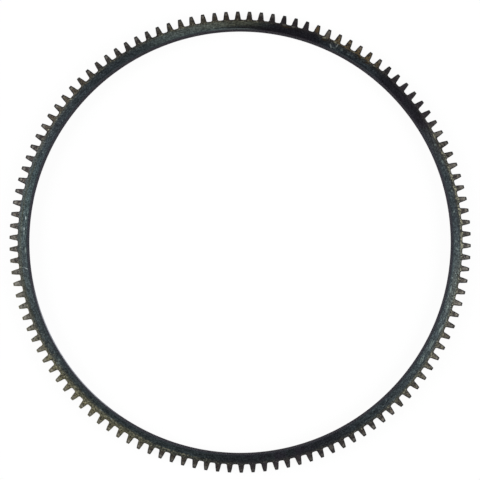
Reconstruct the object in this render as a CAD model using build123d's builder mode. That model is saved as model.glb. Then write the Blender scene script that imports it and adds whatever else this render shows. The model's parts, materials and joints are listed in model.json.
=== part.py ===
from build123d import *
from math import acos, cos, degrees, pi, radians, sin, tan
import os

# Flywheel ring gear: one steel ring with spur teeth round the outside and a plain bore.
# The axis is Z. The ring lies on its back face at Z = 0, and the bevelled tooth ends face up.

# Driving dimensions of the toothing, in millimetres and degrees
module = 2.5
tooth_count = 122
pressure_angle = 12.0
addendum_factor = 1.0
dedendum_factor = 1.25
root_fillet_factor = 0.4
tooth_thinning = 0.7

# Driving dimensions of the ring and its broken edges, in millimetres
face_width = 11.0
rim_thickness = 6.375
bore_chamfer = 0.5
tip_chamfer = 1.0
tip_break = 0.2
flank_bevel = 0.5

# Radii and angles that follow from them
pitch_radius = module * tooth_count / 2
base_radius = pitch_radius * cos(radians(pressure_angle))
tip_radius = pitch_radius + addendum_factor * module
root_radius = pitch_radius - dedendum_factor * module
middle_radius = (tip_radius + root_radius) / 2
bore_radius = root_radius - rim_thickness
half_pitch_angle = 180 / tooth_count

# The teeth are cut thinner than half a pitch, so that a pinion thrown into mesh finds its way in
tooth_thickness = pi * module / 2 - tooth_thinning


def pressure_angle_at(radius):
    """Pressure angle of the involute at one radius, in radians, which is zero up to the base circle."""
    return acos(min(1, base_radius / radius))


def flank_angle(radius):
    """Half of the angle that a tooth fills at one radius, in degrees."""
    reference = tan(radians(pressure_angle)) - radians(pressure_angle)
    local = tan(pressure_angle_at(radius)) - pressure_angle_at(radius)
    return degrees(tooth_thickness / (2 * pitch_radius) + reference - local)


def at(radius, angle):
    """Point in the plane at a radius and an angle in degrees."""
    return Vector(radius * cos(radians(angle)), radius * sin(radians(angle)))


# Root fillet: its centre lies one fillet radius outside the root circle and one off the flank.
# It is laid as two flats between three points of its arc, to keep the facets of so many teeth few.
root_fillet = root_fillet_factor * module
fillet_centre_radius = root_radius + root_fillet
fillet_centre_angle = flank_angle(fillet_centre_radius) + degrees(root_fillet / base_radius)
fillet_centre = at(fillet_centre_radius, fillet_centre_angle)
fillet_sweep = 90 - degrees(pressure_angle_at(fillet_centre_radius))
fillet_points = [
    fillet_centre - at(root_fillet, fillet_centre_angle + share * fillet_sweep) for share in (0, 0.5, 1)
]

# The flank is laid as two flats between three points of its involute. The root and the tip are flat lands.
flank_middle = at(middle_radius, flank_angle(middle_radius))
tip_corner = (tip_radius, at(tip_radius, flank_angle(tip_radius)).Y)
root_land_radius = root_radius * cos(radians(half_pitch_angle - fillet_centre_angle))
root_middle = at(root_land_radius, half_pitch_angle)

# One pitch of the ring: the tooth on +X, half a tooth space on each side of it, and the rim below
with BuildPart() as tooth_sector:
    with BuildSketch() as sector_face:
        with BuildLine():
            bore_end = at(bore_radius, half_pitch_angle)
            Polyline(bore_end, root_middle, *fillet_points, flank_middle, tip_corner, (tip_radius, 0))
            ThreePointArc(bore_end, at(bore_radius, half_pitch_angle / 2), (bore_radius, 0))
            mirror(about=Plane.XZ)
        make_face()
        chamfer(sector_face.vertices().group_by(Axis.X)[-1], tip_break)
    extrude(amount=face_width)

    # The tip is chamfered at both ends
    with BuildSketch(Plane.XZ) as tip_section:
        with Locations((tip_radius / 2, face_width / 2)):
            Rectangle(tip_radius, face_width)
        chamfer(tip_section.vertices().group_by(Axis.X)[-1], tip_chamfer)
    extrude(amount=pitch_radius, both=True, mode=Mode.INTERSECT)

    # The flanks and the roots are bevelled at the front, to lead a pinion in. Outwards from the axis, the
    # front face has the bore's edge, the sector's two sides, the edges to bevel, and the tip's chamfer.
    front_edges = tooth_sector.faces().sort_by(Axis.Z)[-1].edges().sort_by(Axis.X)
    chamfer(front_edges[3:-1], flank_bevel)

# The whole ring: every pitch joined to the next into one solid, and the bore chamfered at both ends
with BuildPart() as ring_gear:
    with PolarLocations(0, tooth_count):
        add(tooth_sector.part)
    chamfer(ring_gear.edges().filter_by(GeomType.CIRCLE), bore_chamfer)

os.makedirs("parts", exist_ok=True)
ring_gear.part.label = "ring_gear"
export_step(ring_gear.part, "parts/ring_gear.step")
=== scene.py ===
import json
import math
import bpy
from mathutils import Matrix, Vector


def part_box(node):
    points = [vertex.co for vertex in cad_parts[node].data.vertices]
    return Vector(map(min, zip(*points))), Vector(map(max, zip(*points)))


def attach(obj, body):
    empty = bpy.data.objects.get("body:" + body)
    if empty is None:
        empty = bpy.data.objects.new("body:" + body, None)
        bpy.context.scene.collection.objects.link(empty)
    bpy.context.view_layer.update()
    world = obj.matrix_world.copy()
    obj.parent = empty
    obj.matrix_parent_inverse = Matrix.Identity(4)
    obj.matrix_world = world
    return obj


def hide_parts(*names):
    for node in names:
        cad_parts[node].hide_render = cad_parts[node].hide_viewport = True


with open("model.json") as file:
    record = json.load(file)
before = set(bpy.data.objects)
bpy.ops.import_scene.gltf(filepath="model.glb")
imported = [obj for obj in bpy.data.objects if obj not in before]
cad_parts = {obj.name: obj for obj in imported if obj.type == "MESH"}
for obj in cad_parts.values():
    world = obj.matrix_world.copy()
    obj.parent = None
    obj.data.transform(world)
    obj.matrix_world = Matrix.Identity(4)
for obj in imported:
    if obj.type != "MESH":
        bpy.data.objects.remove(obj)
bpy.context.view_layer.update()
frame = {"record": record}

# Flywheel ring gear: one hardened steel ring, straw and blue from the heat, lying flat with its bevelled
# tooth ends up. Sizes are in metres and radians unless a name says otherwise.


def mount(name):
    """One of the ring's mounts, as the record gives it."""
    return next(entry for entry in frame["record"]["mounts"] if entry["name"] == name)


# The record and the finishes count in millimetres
mm_per_metre = 1000.0

# Sizes read from the frame
_, ring_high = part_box("ring_gear")
tip_radius = ring_high[0]
face_width = ring_high[2]
bore_radius = mount("flywheel_seat")["dims"]["r_mm"] / mm_per_metre

# Driving dimensions of the toothing
tooth_count = 122
module = 2 * tip_radius / (tooth_count + 2)
pressure_angle = math.radians(12)
dedendum = 1.25 * module
tooth_thinning = 0.0007
root_fillet = 0.4 * module
tip_rounding = 0.0003

# Broken edges
tip_chamfer = 0.001
flank_bevel = 0.0005
bore_chamfer = 0.0005
deburred_edge = 0.0001

# Width of the dark line along the edges of the front face: partly scale from the heat, partly painted shade
# that widens the bevels' dark outline
edge_band = 0.00035

# Radii and angles that follow
half_pitch = math.pi / tooth_count
pitch_radius = module * tooth_count / 2
base_radius = pitch_radius * math.cos(pressure_angle)
root_radius = pitch_radius - dedendum
tooth_thickness = math.pi * module / 2 - tooth_thinning

# Angle at which the photograph shows the tooth that stands on +X
photo_turn = math.radians(1.90)

# Fineness of the mesh, in steps for each curve, and the angle from which an edge is shaded as sharp
fillet_steps = 6
flank_steps = 6
rounding_steps = 3
bore_steps = 8
sharp_angle = math.radians(30)


# The shape of one tooth


def at(radius, angle):
    """Point in the plane at a radius and an angle."""
    return Vector((radius * math.cos(angle), radius * math.sin(angle)))


def local_pressure_angle(radius):
    """Pressure angle of the involute at one radius, zero up to the base circle."""
    return math.acos(min(1, base_radius / radius))


def half_tooth_angle(radius, inset):
    """Half of the angle that a tooth fills at one radius, with its flanks moved in by an inset."""
    reference = math.tan(pressure_angle) - pressure_angle
    local = math.tan(local_pressure_angle(radius)) - local_pressure_angle(radius)
    return tooth_thickness / (2 * pitch_radius) + reference - local - inset / base_radius


def arc(centre, centre_angle, radius, start, end, steps):
    """Points of an arc, whose angles are counted from the direction away from the ring's axis."""
    spread = [start + (end - start) * step / steps for step in range(steps + 1)]
    return [centre + at(radius, centre_angle + turn) for turn in spread]


def half_outline(inset, tip_cut):
    """Outline from the middle of a root land, over the fillet, the flank and the rounded tip corner, to the
    middle of the tooth tip. The flank and root stand back by the inset, and the tip by its cut."""
    fillet_radius = root_fillet + inset
    fillet_centre_radius = root_radius + root_fillet
    fillet_angle = half_tooth_angle(fillet_centre_radius, inset) + fillet_radius / base_radius
    fillet_centre = at(fillet_centre_radius, fillet_angle)
    fillet_end = math.pi + math.pi / 2 - local_pressure_angle(fillet_centre_radius)
    fillet = arc(fillet_centre, fillet_angle, fillet_radius, math.pi, fillet_end, fillet_steps)

    # The rounding of the corner shrinks to half over the tip's chamfer
    corner_radius = tip_rounding * (1 - tip_cut / tip_chamfer / 2)
    corner_centre_radius = tip_radius - tip_cut - corner_radius
    corner_angle = half_tooth_angle(corner_centre_radius, inset) - corner_radius / base_radius
    corner_centre = at(corner_centre_radius, corner_angle)
    corner_start = math.pi / 2 - local_pressure_angle(corner_centre_radius)
    corner = arc(corner_centre, corner_angle, corner_radius, corner_start, 0, rounding_steps)

    flank = []
    for step in range(1, flank_steps):
        radius = fillet[-1].length + (corner[0].length - fillet[-1].length) * step / flank_steps
        flank.append(at(radius, half_tooth_angle(radius, inset)))
    root_middle = at(root_radius - inset, half_pitch)
    tip_middle = at(tip_radius - tip_cut, 0)
    return [root_middle] + fillet + flank + corner + [tip_middle]


def pitch_outline(inset, tip_cut):
    """Outline of one whole pitch, from root land to tooth and back, up to where the next one starts."""
    half = half_outline(inset, tip_cut)
    lower = [Vector((point.x, -point.y)) for point in half]
    return lower + half[-2:0:-1]


def ring_of(points, height):
    """One pitch's points repeated round the ring at one height."""
    places = []
    for tooth in range(tooth_count):
        turn = Matrix.Rotation(2 * half_pitch * tooth, 2)
        places += [(*(turn @ point), height) for point in points]
    return places


def bore_points(radius):
    """The bore's points over one pitch."""
    return [at(radius, half_pitch * (2 * step / bore_steps - 1)) for step in range(bore_steps)]


# Finishes of the ring's surfaces, in the order of the mesh's material slots
front_finish, bevel_finish, flank_finish, bore_finish, back_finish = range(5)

# Sections through the teeth from back to front: height, inset of flanks and roots, cut of the tip, and the
# finish of the surface up to the next section
tooth_sections = [
    (0, deburred_edge, tip_chamfer + deburred_edge, bevel_finish),
    (deburred_edge, 0, tip_chamfer - deburred_edge, flank_finish),
    (tip_chamfer, 0, 0, flank_finish),
    (face_width - tip_chamfer, 0, 0, bevel_finish),
    (face_width - flank_bevel, 0, tip_chamfer - flank_bevel, bevel_finish),
    (face_width, flank_bevel, tip_chamfer, front_finish),
    (face_width, flank_bevel + edge_band, tip_chamfer + edge_band, front_finish),
]

# Sections through the bore from front to back: height, radius, finish
bore_sections = [
    (face_width, bore_radius + bore_chamfer + edge_band, front_finish),
    (face_width, bore_radius + bore_chamfer, bore_finish),
    (face_width - bore_chamfer, bore_radius, bore_finish),
    (bore_chamfer, bore_radius, bore_finish),
    (0, bore_radius + bore_chamfer, back_finish),
]


def make_ring():
    """The whole ring as one closed mesh: sections round the teeth and the bore, and the two faces. The
    attribute off_edge is 1 on the front face and falls to 0 at its edges."""
    places = []
    faces = []
    finishes = []

    def band(lower, upper, count, finish):
        """Joins two rings of points, each given by its first point's number, with a band of faces."""
        for step in range(count):
            following = (step + 1) % count
            faces.append((lower + step, lower + following, upper + following, upper + step))
            finishes.append(finish)

    def lay_sections(sections, outline):
        """Lays the sections' points, joins them, and gives back the numbers where they start."""
        starts = []
        for section in sections:
            starts.append(len(places))
            places.extend(ring_of(outline(section), section[0]))
        count = len(places) - starts[-1]
        for lower, upper, section in zip(starts, starts[1:], sections):
            band(lower, upper, count, section[-1])
        return starts

    tooth_starts = lay_sections(tooth_sections, lambda section: pitch_outline(section[1], section[2]))
    bore_starts = lay_sections(bore_sections, lambda section: bore_points(section[1]))

    def face_pitch(teeth, bore, tooth):
        """Points of a flat face over one pitch: out along the teeth and back along the bore."""
        outline_count = tooth_starts[1] - tooth_starts[0]
        bore_count = bore_starts[1] - bore_starts[0]
        per_pitch = outline_count // tooth_count
        outer = [(tooth * per_pitch + step) % outline_count for step in range(per_pitch + 1)]
        inner = [(tooth * bore_steps + step) % bore_count for step in range(bore_steps + 1)]
        return [teeth + point for point in outer] + [bore + point for point in reversed(inner)]

    for tooth in range(tooth_count):
        faces.append(face_pitch(tooth_starts[-1], bore_starts[0], tooth))
        finishes.append(front_finish)
        faces.append(face_pitch(tooth_starts[0], bore_starts[-1], tooth)[::-1])
        finishes.append(back_finish)

    mesh = bpy.data.meshes.new("toothed_ring")
    mesh.from_pydata(places, [], faces)
    mesh.polygons.foreach_set("material_index", finishes)
    off_edge = mesh.attributes.new("off_edge", "FLOAT", "POINT")
    inside = set(range(tooth_starts[-1], bore_starts[1]))
    off_edge.data.foreach_set("value", [float(point in inside) for point in range(len(places))])
    mesh.shade_smooth()
    mesh.set_sharp_from_angle(angle=sharp_angle)
    ring = bpy.data.objects.new("toothed_ring", mesh)
    bpy.context.collection.objects.link(ring)
    return ring


# Small helpers for shader nodes


def shade(red, green, blue):
    """A colour as the eye sees it, 0 to 255, turned into the linear values of a shader."""
    values = [level / 255 for level in (red, green, blue)]
    linear = [level / 12.92 if level <= 0.04045 else ((level + 0.055) / 1.055) ** 2.4 for level in values]
    return (*linear, 1)


def give(tree, socket, value):
    """Links a node's input to an output, or sets its plain value."""
    if isinstance(value, bpy.types.NodeSocket):
        tree.links.new(value, socket)
    else:
        socket.default_value = value


def calculate(tree, operation, *values):
    """A math node over values or outputs."""
    step = tree.nodes.new("ShaderNodeMath")
    step.operation = operation
    for socket, value in zip(step.inputs, values):
        give(tree, socket, value)
    return step.outputs[0]


def vector_step(tree, operation, *values, scale=None):
    """A vector math node over vectors or outputs. Lengths and dot products come out as numbers."""
    step = tree.nodes.new("ShaderNodeVectorMath")
    step.operation = operation
    for socket, value in zip(step.inputs, values):
        give(tree, socket, value)
    if scale is not None:
        give(tree, step.inputs["Scale"], scale)
    return step.outputs["Value" if operation in ("LENGTH", "DOT_PRODUCT") else "Vector"]


def ease(tree, value, low, high):
    """Rises smoothly from 0 at low to 1 at high."""
    rise = tree.nodes.new("ShaderNodeMapRange")
    rise.interpolation_type = "SMOOTHSTEP"
    give(tree, rise.inputs["Value"], value)
    give(tree, rise.inputs["From Min"], low)
    give(tree, rise.inputs["From Max"], high)
    return rise.outputs["Result"]


def blend(tree, share, first, second, kind="MIX"):
    """Mixes two colours by a share."""
    mix = tree.nodes.new("ShaderNodeMix")
    mix.data_type = "RGBA"
    mix.blend_type = kind
    give(tree, mix.inputs[0], share)
    give(tree, mix.inputs[6], first)
    give(tree, mix.inputs[7], second)
    return mix.outputs[2]


def between(tree, effect, low, high):
    """Runs from low, where an effect is 0, to high, where it is 1."""
    return calculate(tree, "MULTIPLY_ADD", effect, high - low, low)


def cloud(tree, vector, scale, detail):
    """Soft noise, from 0 to 1."""
    roughness = 0.6
    noise = tree.nodes.new("ShaderNodeTexNoise")
    give(tree, noise.inputs["Vector"], vector)
    give(tree, noise.inputs["Scale"], scale)
    give(tree, noise.inputs["Detail"], detail)
    give(tree, noise.inputs["Roughness"], roughness)
    return noise.outputs["Fac"]


def bearing_of(tree, shown):
    """Turns an angle that the photograph shows, in degrees, into the ring's own bearing in radians."""
    return calculate(tree, "RADIANS", calculate(tree, "SUBTRACT", shown, math.degrees(photo_turn)))


def towards(tree, bearing):
    """The direction at a bearing in the plane."""
    direction = tree.nodes.new("ShaderNodeCombineXYZ")
    give(tree, direction.inputs[0], calculate(tree, "COSINE", bearing))
    give(tree, direction.inputs[1], calculate(tree, "SINE", bearing))
    return direction.outputs[0]


def new_group(name, inputs, outputs):
    """An empty node group with named sockets. Inputs are (name, default), where None makes a vector, and
    outputs are (name, type)."""
    tree = bpy.data.node_groups.new(name, "ShaderNodeTree")
    for label, default in inputs:
        kind = "NodeSocketVector" if default is None else "NodeSocketFloat"
        socket = tree.interface.new_socket(label, in_out="INPUT", socket_type=kind)
        if default is not None:
            socket.default_value = default
    for label, kind in outputs:
        tree.interface.new_socket(label, in_out="OUTPUT", socket_type=kind)
    start = tree.nodes.new("NodeGroupInput")
    end = tree.nodes.new("NodeGroupOutput")
    return tree, start.outputs, end.inputs


def place_group(tree, group, **values):
    """Places a group in a tree with its inputs, and gives its outputs."""
    placed = tree.nodes.new("ShaderNodeGroup")
    placed.node_tree = group
    for label, value in values.items():
        give(tree, placed.inputs[label], value)
    return placed.outputs


# Effects that several finishes share. Lengths in them are millimetres.


def ring_place_group():
    """Where a point lies on the ring: its radius, its height, the direction to it from the axis, its place,
    and a place for what the lathe left, in which the way round the ring counts less than the way across."""
    round_scale = 45.0
    tree, _, out = new_group("ring_place", [], [
        ("Radius", "NodeSocketFloat"),
        ("Height", "NodeSocketFloat"),
        ("Direction", "NodeSocketVector"),
        ("Place", "NodeSocketVector"),
        ("Lathe", "NodeSocketVector"),
    ])
    coordinates = tree.nodes.new("ShaderNodeTexCoord")
    place = vector_step(tree, "SCALE", coordinates.outputs["Object"], scale=mm_per_metre)
    flat = vector_step(tree, "MULTIPLY", place, (1, 1, 0))
    radius = vector_step(tree, "LENGTH", flat)
    direction = vector_step(tree, "NORMALIZE", flat)
    height = vector_step(tree, "DOT_PRODUCT", place, (0, 0, 1))
    across = tree.nodes.new("ShaderNodeCombineXYZ")
    give(tree, across.inputs[2], calculate(tree, "ADD", radius, height))
    along = vector_step(tree, "SCALE", direction, scale=round_scale)
    lathe = vector_step(tree, "ADD", along, across.outputs[0])
    give(tree, out["Radius"], radius)
    give(tree, out["Height"], height)
    give(tree, out["Direction"], direction)
    give(tree, out["Place"], place)
    give(tree, out["Lathe"], lathe)
    return tree


def sector_group():
    """A stretch of the ring: 1 in its middle, easing to 0 from one softness inside its half width to one
    outside. Angles are degrees, counted as the photograph shows them: from the right, anticlockwise."""
    tree, given, out = new_group(
        "sector",
        [("Direction", None), ("Middle", 0.0), ("Half width", 30.0), ("Softness", 10.0)],
        [("Share", "NodeSocketFloat")],
    )
    middle = towards(tree, bearing_of(tree, given["Middle"]))
    closeness = vector_step(tree, "DOT_PRODUCT", given["Direction"], middle)
    away = calculate(tree, "DEGREES", calculate(tree, "ARCCOSINE", closeness))
    inside = calculate(tree, "SUBTRACT", given["Half width"], away)
    soft = calculate(tree, "MULTIPLY", given["Softness"], -1.0)
    give(tree, out["Share"], ease(tree, inside, soft, given["Softness"]))
    return tree


def turned_grain_group():
    """What the lathe left round the ring, each about 0 to 1: streaks as broad as a millimetre, fine lines
    between them, and short pale flecks."""
    tree, given, out = new_group("turned_grain", [("Lathe", None)], [
        ("Streaks", "NodeSocketFloat"),
        ("Lines", "NodeSocketFloat"),
        ("Flecks", "NodeSocketFloat"),
    ])
    for name, stretch, detail, low, high in (
        ("Streaks", (0.8, 0.8, 1.15), 2.0, 0.34, 0.66),
        ("Lines", (0.25, 0.25, 2.6), 3.0, 0.3, 0.7),
        ("Flecks", (1.9, 1.9, 1.3), 1.0, 0.56, 0.72),
    ):
        stretched = vector_step(tree, "MULTIPLY", given["Lathe"], stretch)
        give(tree, out[name], ease(tree, cloud(tree, stretched, 1.0, detail), low, high))
    return tree


def scale_group():
    """Oxide scale, each about 0 to 1: broad patches, blotches of about a millimetre, small specks and pits,
    and the finest grain. Ragged is a push for uneven borders."""
    tree, given, out = new_group("oxide_scale", [("Place", None)], [
        ("Broad", "NodeSocketFloat"),
        ("Fine", "NodeSocketFloat"),
        ("Specks", "NodeSocketFloat"),
        ("Pits", "NodeSocketFloat"),
        ("Grain", "NodeSocketFloat"),
        ("Ragged", "NodeSocketFloat"),
    ])
    for name, per_mm, detail, low, high in (
        ("Broad", 0.16, 3.0, 0.35, 0.65),
        ("Fine", 0.75, 2.5, 0.34, 0.66),
        ("Specks", 1.15, 1.0, 0.56, 0.68),
        ("Pits", 0.9, 1.0, 0.53, 0.63),
        ("Grain", 1.3, 2.0, 0.35, 0.65),
    ):
        give(tree, out[name], ease(tree, cloud(tree, given["Place"], per_mm, detail), low, high))
    ragged = cloud(tree, given["Place"], 0.45, 3.0)
    give(tree, out["Ragged"], calculate(tree, "SUBTRACT", ragged, 0.5))
    return tree


def tooth_turn_group():
    """Two chance values, 0 to 1, which change from one tooth to the next."""
    tree, given, out = new_group("tooth_by_tooth", [("Direction", None)], [
        ("First", "NodeSocketFloat"),
        ("Second", "NodeSocketFloat"),
    ])
    parts = tree.nodes.new("ShaderNodeSeparateXYZ")
    give(tree, parts.inputs[0], given["Direction"])
    angle = calculate(tree, "ARCTAN2", parts.outputs[1], parts.outputs[0])
    nearest = calculate(tree, "ROUND", calculate(tree, "DIVIDE", angle, 2 * half_pitch))
    number = calculate(tree, "FLOORED_MODULO", calculate(tree, "ADD", nearest, tooth_count), tooth_count)
    chance = tree.nodes.new("ShaderNodeTexWhiteNoise")
    chance.noise_dimensions = "1D"
    give(tree, chance.inputs["W"], number)
    give(tree, out["First"], chance.outputs["Value"])
    hues = tree.nodes.new("ShaderNodeSeparateColor")
    give(tree, hues.inputs[0], chance.outputs["Color"])
    give(tree, out["Second"], hues.outputs[1])
    return tree


def mark_group():
    """One mark at a radius and an angle, with soft ends: its length runs round the ring, or is turned
    anticlockwise from that."""
    # Squares of the distance, in half sizes, within which the mark is full and beyond which it is gone
    full_within = 0.4
    gone_beyond = 1.5
    tree, given, out = new_group("mark", [
        ("Place", None),
        ("At radius", 146.0),
        ("At angle", 0.0),
        ("Length", 3.0),
        ("Width", 0.5),
        ("Turned", 0.0),
    ], [("Share", "NodeSocketFloat")])
    bearing = bearing_of(tree, given["At angle"])
    slant = calculate(tree, "ADD", bearing, calculate(tree, "RADIANS", given["Turned"]))
    spot = vector_step(tree, "SCALE", towards(tree, bearing), scale=given["At radius"])
    offset = vector_step(tree, "SUBTRACT", given["Place"], spot)
    across = towards(tree, slant)
    along = towards(tree, calculate(tree, "ADD", slant, math.pi / 2))
    spread = []
    for way, size in ((along, given["Length"]), (across, given["Width"])):
        half = calculate(tree, "DIVIDE", size, 2.0)
        distance = calculate(tree, "DIVIDE", vector_step(tree, "DOT_PRODUCT", offset, way), half)
        spread.append(calculate(tree, "MULTIPLY", distance, distance))
    give(tree, out["Share"], ease(tree, calculate(tree, "ADD", *spread), gone_beyond, full_within))
    return tree


# Finishes

# Height of the scale and the tool marks in the relief, in metres
relief_height = 0.00001


def new_finish(name):
    """A material with its principled shader."""
    material = bpy.data.materials.new(name)
    material.use_nodes = True
    shader = material.node_tree.nodes["Principled BSDF"]
    return material, material.node_tree, shader


def product(tree, *shares):
    """Shares multiplied together."""
    result = shares[0]
    for share in shares[1:]:
        result = calculate(tree, "MULTIPLY", result, share)
    return result


class Paint:
    """A steel finish in the making: its shader, the shared effects placed in it, and its colour so far."""

    def __init__(self, name, colour):
        self.material, self.tree, self.shader = new_finish(name)
        self.place = place_group(self.tree, shared["ring_place"])
        self.scale = place_group(self.tree, shared["oxide_scale"], Place=self.place["Place"])
        self.grain = place_group(self.tree, shared["turned_grain"], Lathe=self.place["Lathe"])
        self.tooth = place_group(self.tree, shared["tooth_by_tooth"], Direction=self.place["Direction"])
        self.colour = colour

    def beyond(self, radius, softness, raggedness):
        """1 outside a radius, with a ragged border."""
        push = calculate(self.tree, "MULTIPLY", self.scale["Ragged"], raggedness)
        ragged = calculate(self.tree, "ADD", self.place["Radius"], push)
        return ease(self.tree, ragged, radius - softness, radius + softness)

    def within(self, inner, outer, softness, raggedness):
        """1 in a band between two radii, with ragged borders."""
        past = self.beyond(outer, softness, raggedness)
        return calculate(self.tree, "SUBTRACT", self.beyond(inner, softness, raggedness), past)

    def sector(self, middle, half_width, softness):
        """A stretch of the ring."""
        return place_group(self.tree, shared["sector"], **{
            "Direction": self.place["Direction"],
            "Middle": middle,
            "Half width": half_width,
            "Softness": softness,
        })["Share"]

    def mark(self, radius, angle, length, width, turned):
        """Where one single mark lies."""
        return place_group(self.tree, shared["mark"], **{
            "Place": self.place["Place"],
            "At radius": radius,
            "At angle": angle,
            "Length": length,
            "Width": width,
            "Turned": turned,
        })["Share"]

    def lay(self, colour, *shares):
        """Lays a colour over the finish by the product of some shares."""
        self.colour = blend(self.tree, product(self.tree, *shares), self.colour, colour)

    def vary(self, effect, low, high):
        """Multiplies the colour by low where an effect is 0, up to high where it is 1."""
        factor = between(self.tree, effect, low, high)
        self.colour = blend(self.tree, 1.0, self.colour, factor, "MULTIPLY")

    def finish(self, metallic, roughness, bump, turned_shine=0.0):
        """Joins the colour, gloss and relief to the shader. A turned shine is drawn out round the axis."""
        quarter_turn = 0.25
        give(self.tree, self.shader.inputs["Base Color"], self.colour)
        give(self.tree, self.shader.inputs["Metallic"], metallic)
        give(self.tree, self.shader.inputs["Roughness"], roughness)
        relief = self.tree.nodes.new("ShaderNodeBump")
        relief.inputs["Strength"].default_value = 1.0
        relief.inputs["Distance"].default_value = relief_height
        give(self.tree, relief.inputs["Height"], bump)
        give(self.tree, self.shader.inputs["Normal"], relief.outputs[0])
        if turned_shine:
            self.shader.inputs["Anisotropic"].default_value = turned_shine
            self.shader.inputs["Anisotropic Rotation"].default_value = quarter_turn
            tangent = self.tree.nodes.new("ShaderNodeTangent")
            tangent.direction_type = "RADIAL"
            tangent.axis = "Z"
            give(self.tree, self.shader.inputs["Tangent"], tangent.outputs[0])
        return self.material


# Tones of the steel, as they look under even light
rim_teal = shade(61, 70, 72)
rim_navy = shade(33, 37, 47)
rim_blue = shade(31, 32, 50)
rim_pale = shade(122, 135, 131)
rim_green = shade(48, 74, 69)
rim_grey = shade(76, 78, 71)
rim_violet = shade(55, 48, 52)
root_olive = shade(60, 60, 49)
tooth_brown = shade(71, 67, 60)
tip_pale = shade(146, 142, 134)
straw = shade(121, 118, 91)
straw_grey = shade(108, 107, 98)
ochre = shade(98, 80, 48)
pale_tan = shade(150, 148, 126)
black_scale = shade(26, 23, 28)
violet_black = shade(28, 22, 31)
burnt_violet = shade(50, 43, 54)
rust_brown = shade(64, 50, 30)
painted_glint_grey = shade(178, 182, 190)
bare_steel = shade(166, 175, 175)

# Radii where the finish changes, in millimetres, from the bore outwards
speckled_line = 145.5
olive_line = 146.8
grey_line = 147.3
teal_line = 147.8
tan_specks = (148.2, 149.8)
root_line = 148.4
tooth_line = 149.6
tip_spot = (152.3, 154.2)

# Stretches of the ring that took on another tone in the heat, apart from those whose comment says
# otherwise.
# Each has the angle of its middle, its half width and its softness in degrees, then the share and the tone.
tooth_stretches = [
    (200, 11, 8, 0.6, straw_grey),
    (224, 18, 9, 0.85, straw),
    (60, 8, 4, 0.8, ochre),
    (106, 26, 8, 0.45, black_scale),
    (162, 14, 6, 0.6, rim_violet),
    (300, 12, 6, 0.3, black_scale),
    (89, 6, 3, 0.3, black_scale),
    (103, 7, 4, 0.15, straw),
    (330, 15, 8, 0.2, straw),
    (142, 10, 5, 0.2, ochre),
    (90, 10, 5, 0.3, rust_brown),
]
rim_stretches = [
    (29, 7, 4, 0.4, rim_violet),
    (58, 10, 4, 0.35, rim_blue),
    (142, 22, 8, 0.45, rim_navy),
    (10, 12, 6, 0.25, rim_navy),
    (308, 14, 8, 0.25, rim_navy),
    (294, 6, 4, 0.12, rim_navy),
    # The rim is made paler round 104 degrees
    (104, 9, 4, 0.36, rim_pale),
    (168, 11, 5, 0.15, rim_green),
]
speckled_rims = [
    (180, 12, 6, 0.3, rim_pale),
    (348, 12, 6, 0.5, rim_pale),
    (146, 8, 5, 0.25, rim_pale),
    (218, 14, 6, 0.3, pale_tan),
    (62, 11, 5, 0.3, rim_pale),
    (26, 9, 5, 0.2, rim_pale),
]
blackened_stretches = [
    (41, 9, 3, 0.77, violet_black),
    (75, 8, 4, 0.8, violet_black),
    (281, 19, 8, 0.5, violet_black),
]
speckled_teeth = [
    (8, 28, 10, 0.5, tip_pale),
    (185, 26, 10, 0.5, tip_pale),
    (325, 20, 8, 0.5, tip_pale),
]
blotched_teeth = [
    (172, 22, 8, 0.5, black_scale),
    (334, 24, 8, 0.5, black_scale),
]
violet_stretches = [
    (279, 10, 6, 0.55, burnt_violet),
    (37, 6, 4, 0.5, burnt_violet),
]
# Painted shade: stretches where the bore wall is made darker, where little light falls on it
bore_shade_stretches = [
    (112, 30, 8, 0.6, violet_black),
    (60, 8, 5, 0.6, violet_black),
    (308, 14, 6, 0.5, violet_black),
]

# Stretches where the outer part of the rim is warmer: middle, half width and softness in degrees, then the
# radius where it starts, the share and the tone
warm_rims = [
    (229, 15, 6, 146.2, 0.4, straw),
    (103, 6, 4, 145.5, 0.15, ochre),
    (93, 8, 4, 144.7, 0.3, straw),
    (148, 8, 5, 147.2, 0.35, straw_grey),
    (348, 6, 4, 144.8, 0.35, rim_grey),
    (60, 9, 4, 146.2, 0.15, ochre),
    (20, 14, 5, 146.6, 0.12, ochre),
]

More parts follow.
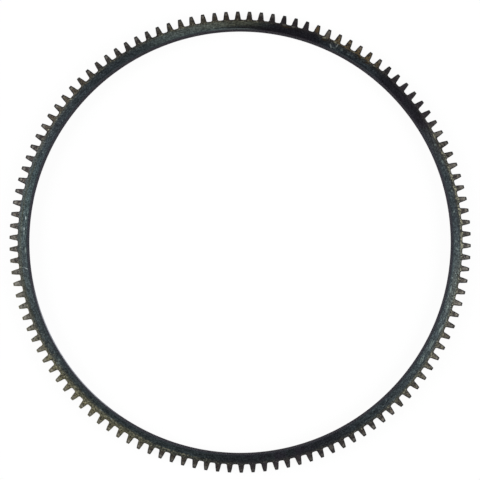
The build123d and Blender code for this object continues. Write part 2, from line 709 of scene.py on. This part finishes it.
# Single marks that stand out: radius, angle in degrees, length, width, and how it is turned in degrees.
# Those of the brown, dark and pale teeth cover one tooth each, or a part of it.
bare_scratches = [
    (144.1, 187.3, 4.2, 0.6, 58),
    (146.7, 234.1, 1.8, 0.9, 0),
    (146.4, 230.6, 2.8, 0.6, 0),
    (145.2, 176.6, 2.4, 0.7, 0),
    (144.7, 173.7, 2.8, 0.7, 8),
    (145.0, 65.0, 3.2, 1.0, -49),
    (147.0, 63.5, 3.0, 0.8, 82),
]
faint_flecks = [
    (144.1, 182.3, 4.0, 1.1, 0),
    (145.1, 177.8, 2.2, 0.8, 0),
    (143.5, 172.2, 2.4, 0.8, 0),
    (144.8, 64.1, 2.6, 0.7, 0),
    (143.6, 62.8, 1.2, 1.0, 0),
    (145.8, 61.9, 1.8, 1.1, 40),
    (145.3, 59.8, 1.4, 1.0, 0),
    (146.2, 13.4, 1.8, 1.0, 20),
    (145.0, 7.9, 1.8, 1.0, -40),
    (144.9, 0.0, 1.8, 0.9, 0),
    (145.5, 358.1, 2.2, 0.8, 30),
    (147.0, 336.6, 6.5, 0.7, -6),
    (146.3, 336.2, 4.5, 0.7, 0),
    (146.1, 331.9, 7.0, 0.7, 3),
    (145.3, 331.5, 7.5, 0.7, 6),
    (145.7, 327.4, 5.5, 0.7, 13),
    (145.0, 326.8, 5.0, 0.7, 13),
    (145.9, 342.5, 5.0, 0.8, 5),
    (144.9, 347.0, 4.0, 0.8, 0),
    (144.7, 345.2, 1.4, 0.7, 20),
    (147.2, 349.0, 1.5, 0.8, -30),
    (144.6, 350.3, 1.4, 0.7, 0),
    (146.2, 351.6, 1.2, 0.7, 40),
    (146.6, 213.8, 2.6, 1.8, 60),
    (144.9, 213.2, 2.0, 1.4, 70),
    (146.2, 21.5, 2.4, 1.4, 0),
    (146.3, 26.3, 1.8, 1.5, 30),
]
rust_patches = [
    (147.0, 67.3, 4.0, 1.2, 0),
    (147.4, 54.5, 3.0, 1.2, 0),
    (147.8, 57.0, 3.0, 1.0, 0),
    (147.6, 77.8, 7.0, 1.2, 0),
]
tan_patches = [
    (148.3, 67.4, 2.6, 1.2, 20),
    (148.4, 64.4, 2.0, 1.0, 0),
    (148.3, 28.3, 3.4, 0.9, 0),
    (148.4, 23.6, 2.0, 1.4, 40),
]
dull_patches = [
    (148.6, 78.3, 2.6, 1.6, 0),
    (148.7, 75.9, 2.4, 1.4, 0),
]
brown_teeth = [
    (152.0, 69.8, 3.2, 4.8, 0),
]
dark_teeth = [
    (150.2, 7.8, 3.2, 3.0, 0),
    (151.6, 49.1, 3.2, 6.5, 0),
    (150.2, 60.9, 3.2, 3.0, 0),
    (151.6, 84.5, 3.2, 6.5, 0),
    (149.8, 205.5, 3.2, 2.4, 0),
    (150.2, 232.1, 3.2, 3.0, 0),
    (150.4, 235.0, 3.2, 3.6, 0),
    (150.2, 305.8, 3.2, 3.0, 0),
    (150.2, 320.6, 3.2, 3.0, 0),
    (151.8, 338.3, 3.2, 7.0, 0),
]
pale_teeth = [
    (152.4, 10.8, 3.2, 3.6, 0),
    (151.8, 19.6, 3.2, 5.0, 0),
    (152.0, 28.5, 3.2, 5.0, 0),
    (151.8, 66.8, 3.2, 6.0, 0),
    (152.4, 178.9, 3.2, 4.0, 0),
    (152.4, 190.8, 3.2, 3.6, 0),
    (152.4, 193.7, 3.2, 4.0, 0),
    (151.8, 208.5, 3.2, 5.0, 0),
    (150.8, 294.0, 3.2, 3.6, 0),
    (151.8, 344.2, 3.2, 6.0, 0),
    (152.4, 353.0, 3.2, 4.0, 0),
]

# Bands over a stretch: middle, half width and softness in degrees, then inner and outer radius, and the
# share. The tan ones are speckled, and lie where the straw ends.
tan_bands = [
    (238, 22, 6, 147.1, 147.9, 0.75),
    (8, 10, 3, 147.9, 149.6, 0.75),
]
black_bands = [
    (8, 10, 3, 147.3, 147.9, 0.5),
    (85, 6, 4, 143.0, 145.6, 0.7),
    (90, 4, 4, 143.4, 144.4, 0.45),
    (56, 6, 4, 142.8, 144.2, 0.4),
    (57, 7, 4, 147.2, 148.4, 0.35),
    (12, 26, 10, 149.9, 152.2, 0.3),
    (192, 18, 8, 148.3, 150.2, 0.3),
    (330, 6, 4, 146.8, 148.8, 0.25),
    (354, 5, 4, 146.8, 148.6, 0.2),
]


def tint_stretches(paint, stretches, *shares):
    """Lays tones over stretches of the ring: tones of the heat, and on the bore wall painted shade."""
    for *stretch, share, tone in stretches:
        paint.lay(tone, paint.sector(*stretch), *shares, share)


def front_face():
    """Turned and hardened front: teal rim, straw and brown teeth, and the scale and marks that show."""
    paint = Paint("front_face", rim_teal)
    tree = paint.tree
    broad, fine, specks, pits, grain, _ = paint.scale.values()
    streaks, lines, flecks = paint.grain.values()
    edge = tree.nodes.new("ShaderNodeAttribute")
    edge.attribute_name = "off_edge"
    off_edge = edge.outputs["Fac"]

    # The rim: teal inside, warmer and greyer towards the roots, streaked by the lathe
    paint.lay(rim_navy, broad, 0.35)
    paint.lay(rim_grey, paint.beyond(grey_line, 0.9, 2.0), 0.5)
    for *stretch, inner, share, tone in warm_rims:
        paint.lay(tone, paint.sector(*stretch), paint.beyond(inner, 0.8, 2.5), share)
    tint_stretches(paint, rim_stretches)
    paint.vary(streaks, 0.7, 1.35)
    paint.vary(lines, 0.85, 1.15)
    paint.lay(rim_pale, flecks, broad, 0.35)

    # The roots and the teeth, with the straw reaching further in
    roots = paint.beyond(root_line, 0.6, 2.0)
    teeth = paint.beyond(tooth_line, 0.5, 1.2)
    paint.lay(root_olive, roots, 0.75)
    paint.lay(root_olive, paint.sector(180, 24, 8), paint.within(olive_line, root_line, 0.5, 2.0), 0.5)
    paint.lay(tooth_brown, teeth)
    tint_stretches(paint, tooth_stretches, roots)

    # Scale and spots, different from tooth to tooth
    paint.vary(fine, 0.8, 1.2)
    paint.lay(black_scale, roots, pits, 0.95)
    outer_rim = paint.beyond(speckled_line, 1.0, 2.0)
    for *stretch, share, tone in speckled_rims:
        paint.lay(tone, paint.sector(*stretch), outer_rim, specks, share)
        paint.lay(black_scale, paint.sector(*stretch), outer_rim, pits, share)
    tint_stretches(paint, speckled_teeth, teeth, specks)
    tint_stretches(paint, blotched_teeth, teeth, ease(tree, fine, 0.5, 0.1))
    paint.lay(ochre, teeth, specks, paint.tooth["First"], 0.6)
    paint.lay(black_scale, teeth, paint.tooth["First"], 0.24)
    tips = paint.within(*tip_spot, 0.5, 0.8)
    paint.lay(tip_pale, tips, paint.tooth["Second"], 0.45)
    paint.lay(tip_pale, tips, paint.sector(225, 30, 12), 0.3)
    paint.lay(pale_tan, paint.within(*tan_specks, 0.3, 2.0), specks, 0.6)
    paint.lay(rim_teal, paint.sector(170, 14, 6), paint.within(teal_line, tooth_line, 0.4, 1.5), 0.8)

    # Bands and stretches that cover what lies below them, and the finest grain
    speckle = ease(tree, fine, 0.3, 0.7)
    for *stretch, inner, outer, share in tan_bands:
        paint.lay(pale_tan, paint.sector(*stretch), paint.within(inner, outer, 0.25, 2.5), speckle, share)
    for *stretch, inner, outer, share in black_bands:
        paint.lay(black_scale, paint.sector(*stretch), paint.within(inner, outer, 0.3, 1.8), share)
    tint_stretches(paint, blackened_stretches)
    tint_stretches(paint, violet_stretches, broad)
    paint.vary(grain, 0.6, 1.4)

    for marks, tone, share in (
        (rust_patches, rust_brown, 0.6),
        (dull_patches, straw_grey, 0.45),
        (brown_teeth, ochre, 0.55),
        (dark_teeth, black_scale, 0.45),
        (pale_teeth, tip_pale, 0.22),
        (faint_flecks, rim_pale, 0.5),
        (tan_patches, pale_tan, 0.6),
        (bare_scratches, bare_steel, 0.6),
    ):
        for mark in marks:
            paint.lay(tone, paint.mark(*mark), share)

    # A black band along the edges of roots and teeth, partly scale, partly painted shade that widens the
    # bevels' dark outline; and the scale of roots and teeth is duller than the rim's
    painted_edge_shade = calculate(tree, "SUBTRACT", 1.0, off_edge)
    paint.lay(black_scale, painted_edge_shade, roots, 0.8)
    metallic = between(tree, roots, 0.9, 0.6)
    roughness = between(tree, roots, 0.48, 0.6)
    return paint.finish(metallic, roughness, calculate(tree, "ADD", fine, lines), turned_shine=0.6)


def bevels():
    """Bevels and chamfers, black partly from the heat's scale and partly as painted shade of their slope.
    """
    # The black base colour is partly painted shade of the sloped bevels
    paint = Paint("bevels", shade(30, 29, 28))
    paint.lay(tooth_brown, paint.scale["Specks"], 0.4)
    paint.lay(straw, paint.sector(212, 30, 12), 0.5)
    paint.vary(paint.scale["Fine"], 0.7, 1.3)
    paint.shader.inputs["Specular IOR Level"].default_value = 0.25
    return paint.finish(metallic=0.2, roughness=0.7, bump=paint.scale["Fine"])


def flanks():
    """Cut flanks, tips and root lands, brown from the heat, with the cutter's marks across them."""
    paint = Paint("flanks", shade(84, 80, 75))
    tree = paint.tree
    marks = tree.nodes.new("ShaderNodeTexWave")
    marks.bands_direction = "Z"
    marks.inputs["Distortion"].default_value = 1.5
    give(tree, marks.inputs["Vector"], paint.place["Place"])
    give(tree, marks.inputs["Scale"], 0.35)
    paint.vary(marks.outputs["Fac"], 0.8, 1.15)
    paint.lay(tooth_brown, paint.scale["Broad"], 0.5)
    paint.lay(black_scale, paint.scale["Fine"], 0.45)
    paint.vary(paint.tooth["First"], 0.8, 1.2)
    relief = calculate(tree, "ADD", paint.scale["Fine"], marks.outputs["Fac"])
    return paint.finish(metallic=0.75, roughness=0.45, bump=relief)


def bore():
    """Bored seat, dark and rough, with the tool's rings, and darker stretches of its wall that are painted
    shade.
    Painted highlights make two stretches of its back end and one of its front end paler, and one more
    stretch of its front end is black."""
    paint = Paint("bore", shade(34, 33, 43))
    tree = paint.tree

    # Heights in millimetres between which the effects at both ends fade in
    height = paint.place["Height"]
    chamfer_foot = mm_per_metre * (face_width - bore_chamfer)
    below_chamfer = mm_per_metre * (face_width - 2 * bore_chamfer)
    near_front = ease(tree, height, below_chamfer, chamfer_foot)
    near_back = ease(tree, height, 6.0, 2.0)
    lowest = ease(tree, height, 2.5, 1.0)

    # Painted shade over stretches of the wall, then the tones of the front's blackened stretches
    tint_stretches(paint, bore_shade_stretches)
    paint.lay(rim_teal, near_front, 0.5)
    paint.vary(paint.grain["Lines"], 0.8, 1.2)
    tint_stretches(paint, blackened_stretches)
    # A painted reflection of the pale floor along the back end of the wall, low on the left
    paint.lay(painted_glint_grey, paint.sector(214, 18, 8), near_back, 0.9)
    # A painted highlight at the back end of the wall, round 167 degrees
    paint.lay(painted_glint_grey, paint.sector(167.2, 1.8, 0.6), lowest, paint.scale["Fine"], 0.8)
    # A painted highlight where the front chamfer catches the light at the top
    paint.lay(rim_pale, paint.sector(92, 6, 3), near_front, 0.2)
    paint.lay(black_scale, paint.sector(79, 7, 4), near_front)
    paint.shader.inputs["Specular IOR Level"].default_value = 0.1
    paint.shader.inputs["Specular Tint"].default_value = (0.15, 0.15, 0.15, 1)
    return paint.finish(metallic=0.3, roughness=0.7, bump=paint.grain["Lines"])


def back_face():
    """Turned back, as hard and dark as the front but with fewer marks."""
    paint = Paint("back_face", rim_teal)
    paint.lay(rim_navy, paint.scale["Broad"], 0.4)
    paint.vary(paint.grain["Streaks"], 0.75, 1.25)
    paint.vary(paint.grain["Lines"], 0.85, 1.15)
    paint.lay(tooth_brown, paint.beyond(root_line, 1.0, 2.5), 0.8)
    paint.vary(paint.scale["Fine"], 0.75, 1.25)
    return paint.finish(metallic=0.85, roughness=0.5, bump=paint.grain["Lines"], turned_shine=0.6)


# The camera, light and floor

# The camera, in the photograph's axes: its distance from the front face, how far it stands aside, the lean
# of its view, the point that comes to the middle of the picture, and the picture's scale and size
camera_distance = 0.88
camera_aside = Vector((0.0009, -0.0148))
camera_tilt = Vector((0.0150, -0.0152))
camera_aim = Vector((0.00032, 0.00099))
pixels_per_metre = 1490.1
photo_pixels = 480
sensor_width = 36.0


def photo_frame():
    """The photograph's axes, right and up, turned against the ring's own by the first tooth's angle."""
    return Matrix.Rotation(-photo_turn, 4, "Z")


def add_camera():
    """Looks down on the ring at the photograph's scale. A small lens shift puts its middle on the aim."""
    data = bpy.data.cameras.new("camera")
    data.sensor_width = sensor_width
    data.lens = pixels_per_metre * camera_distance * sensor_width / photo_pixels
    camera = bpy.data.objects.new("camera", data)
    bpy.context.collection.objects.link(camera)
    stand = Vector((*camera_aside, face_width + camera_distance))
    back = Vector((*camera_tilt, 1)).normalized()
    right = Vector((0, 1, 0)).cross(back).normalized()
    up = back.cross(right)
    to_aim = Vector((*camera_aim, face_width)) - stand
    reach = data.lens / sensor_width / -to_aim.dot(back)
    data.shift_x = to_aim.dot(right) * reach
    data.shift_y = to_aim.dot(up) * reach
    turned = Matrix((right, up, back)).transposed().to_4x4()
    camera.matrix_world = photo_frame() @ Matrix.Translation(stand) @ turned
    bpy.context.scene.camera = camera


def add_softbox(name, azimuth):
    """A square lamp that faces the ring from a slant above, at an azimuth in the photograph's axes."""
    zenith = 50
    distance = 1.8
    size = 1.0
    radiance = 8.0
    data = bpy.data.lights.new(name, "AREA")
    data.shape = "SQUARE"
    data.size = size
    data.energy = radiance * math.pi * size ** 2
    lamp = bpy.data.objects.new(name, data)
    bpy.context.collection.objects.link(lamp)
    bearing = math.radians(azimuth)
    tilt = math.radians(zenith)
    way = Vector((math.cos(bearing) * math.sin(tilt), math.sin(bearing) * math.sin(tilt), math.cos(tilt)))
    aim = (-way).to_track_quat("-Z", "Y").to_matrix().to_4x4()
    lamp.matrix_world = photo_frame() @ Matrix.Translation(way * distance) @ aim


def add_room():
    """A dim ceiling over pale walls, which shiny steel shows too. The camera sees it all as white."""
    wall_top = 0.45
    wall_foot = 0.15
    ceiling = shade(150, 150, 150)
    world = bpy.data.worlds.new("room")
    bpy.context.scene.world = world
    world.use_nodes = True
    tree = world.node_tree
    room = tree.nodes["Background"]
    ways = tree.nodes.new("ShaderNodeTexCoord")
    rise = vector_step(tree, "DOT_PRODUCT", ways.outputs["Generated"], (0, 0, 1))
    wall = ease(tree, rise, wall_top, wall_foot)
    give(tree, room.inputs["Color"], blend(tree, wall, ceiling, (1, 1, 1, 1)))
    seen = tree.nodes.new("ShaderNodeBackground")
    seen.inputs["Color"].default_value = (1, 1, 1, 1)
    rays = tree.nodes.new("ShaderNodeLightPath")
    mix = tree.nodes.new("ShaderNodeMixShader")
    give(tree, mix.inputs[0], rays.outputs["Is Camera Ray"])
    give(tree, mix.inputs[1], room.outputs[0])
    give(tree, mix.inputs[2], seen.outputs[0])
    give(tree, tree.nodes["World Output"].inputs["Surface"], mix.outputs[0])


def add_floor():
    """A wide pale floor that looks white, keeps a faint shadow, and isn't seen from below."""
    half_size = 4.0
    gap = 0.00005
    glow_share = 0.94
    mesh = bpy.data.meshes.new("floor")
    signs = [(-1, -1), (1, -1), (1, 1), (-1, 1)]
    corners = [(half_size * right, half_size * up, -gap) for right, up in signs]
    mesh.from_pydata(corners, [], [(0, 1, 2, 3)])
    floor = bpy.data.objects.new("floor", mesh)
    bpy.context.collection.objects.link(floor)
    material, tree, paint = new_finish("pale_floor")
    paint.inputs["Base Color"].default_value = (0.9, 0.9, 0.9, 1)
    paint.inputs["Roughness"].default_value = 0.9
    glow = tree.nodes.new("ShaderNodeEmission")
    rays = tree.nodes.new("ShaderNodeLightPath")
    seen = calculate(tree, "MAXIMUM", rays.outputs["Is Camera Ray"], rays.outputs["Is Glossy Ray"])
    lit = tree.nodes.new("ShaderNodeMixShader")
    give(tree, lit.inputs[0], calculate(tree, "MULTIPLY", seen, glow_share))
    give(tree, lit.inputs[1], paint.outputs[0])
    give(tree, lit.inputs[2], glow.outputs[0])
    below = tree.nodes.new("ShaderNodeNewGeometry")
    clear = tree.nodes.new("ShaderNodeBsdfTransparent")
    sided = tree.nodes.new("ShaderNodeMixShader")
    give(tree, sided.inputs[0], below.outputs["Backfacing"])
    give(tree, sided.inputs[1], lit.outputs[0])
    give(tree, sided.inputs[2], clear.outputs[0])
    give(tree, tree.nodes["Material Output"].inputs["Surface"], sided.outputs[0])
    mesh.materials.append(material)


# The finished ring in its setting

shared = {
    "ring_place": ring_place_group(),
    "sector": sector_group(),
    "turned_grain": turned_grain_group(),
    "oxide_scale": scale_group(),
    "tooth_by_tooth": tooth_turn_group(),
    "mark": mark_group(),
}
ring = make_ring()
for finish in (front_face, bevels, flanks, bore, back_face):
    ring.data.materials.append(finish())
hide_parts("ring_gear")
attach(ring, "root")

add_camera()
add_softbox("left_softbox", 172)
add_softbox("right_softbox", 347)
add_room()
add_floor()
bpy.context.scene.view_settings.view_transform = "Standard"
